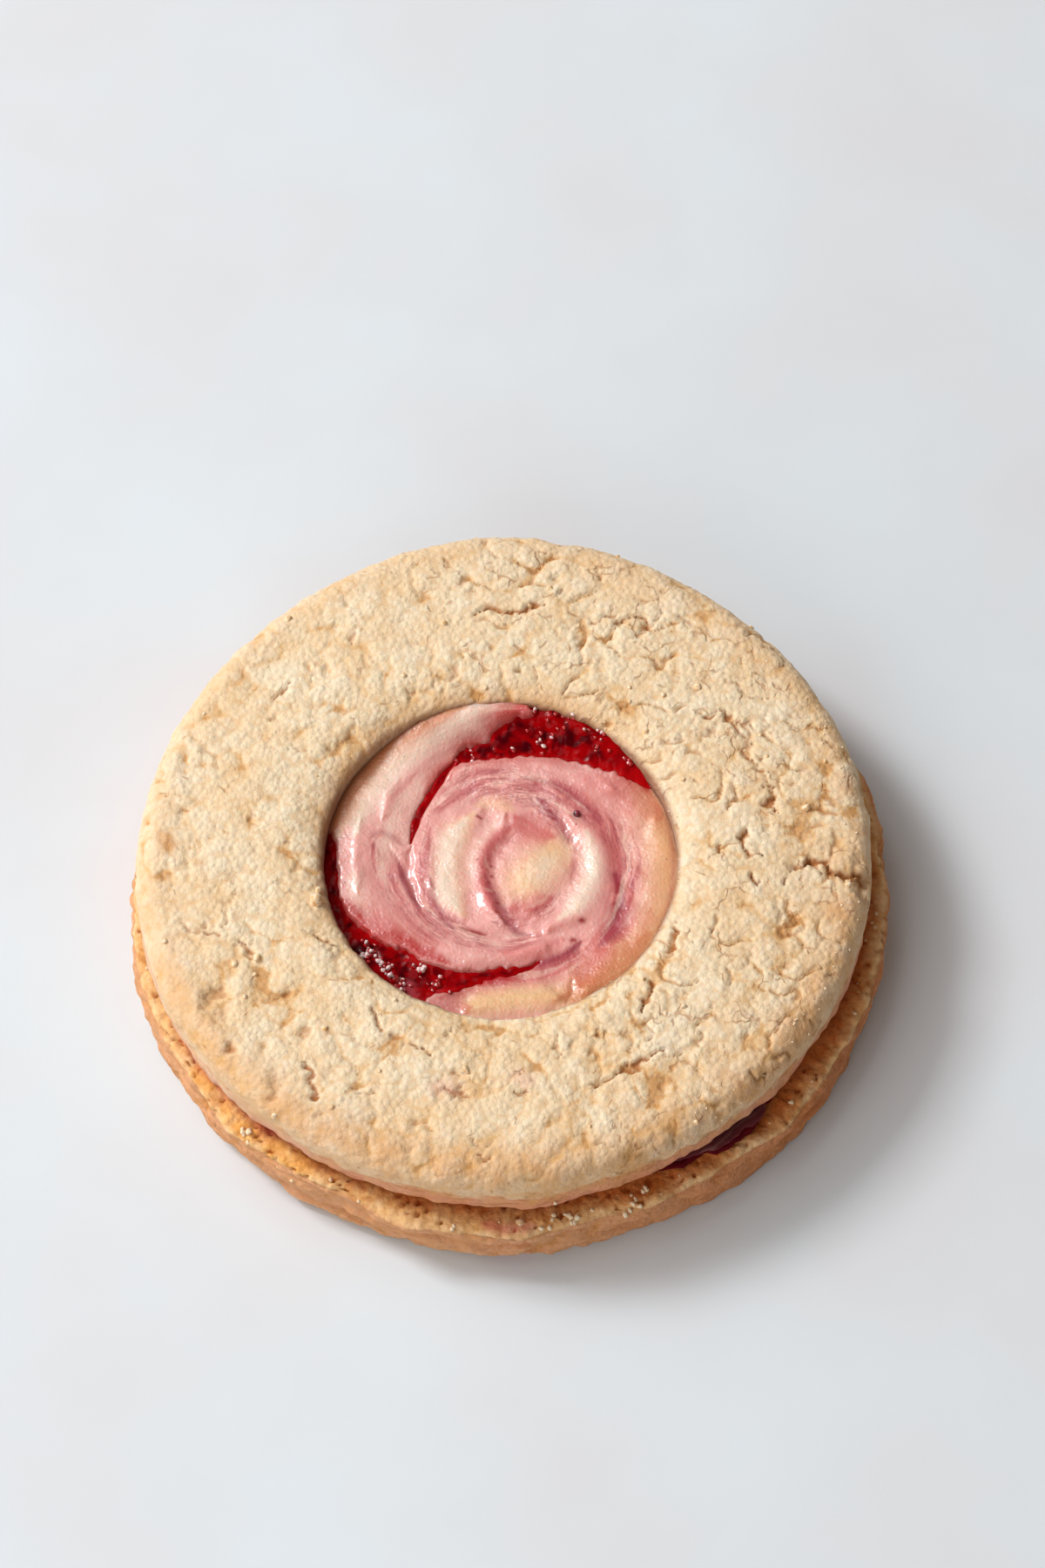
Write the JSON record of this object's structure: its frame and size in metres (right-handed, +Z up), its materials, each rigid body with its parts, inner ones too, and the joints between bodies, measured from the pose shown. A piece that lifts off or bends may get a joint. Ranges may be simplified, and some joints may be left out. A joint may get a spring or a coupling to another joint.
{
  "type": "linzer cookie",
  "caption": "Round sandwich cookie of shortbread biscuits with berry jam and swirled cream between them, which show through a round window in the upper biscuit.",
  "frame": {"origin": "on the flat underside, below the middle of the upper biscuit", "axes": "+Z up through the window, square to the biscuits; -Y towards the side with the widest visible ledge; +X to the right"},
  "size_m": [0.0719, 0.0721, 0.0132],
  "materials": {
    "bottom_biscuit": "toasted shortbread, dry and porous",
    "jam": "wet berry jam with seeds and bubbles",
    "cream": "moist cream marbled with berry juice",
    "top_biscuit": "pale shortbread, dry, crumbly and finely cracked"
  },
  "bodies": {
    "root": {"bottom_biscuit": "bottom_biscuit", "jam": "jam", "cream": "cream", "top_biscuit": "top_biscuit"}
  },
  "joints": []
}
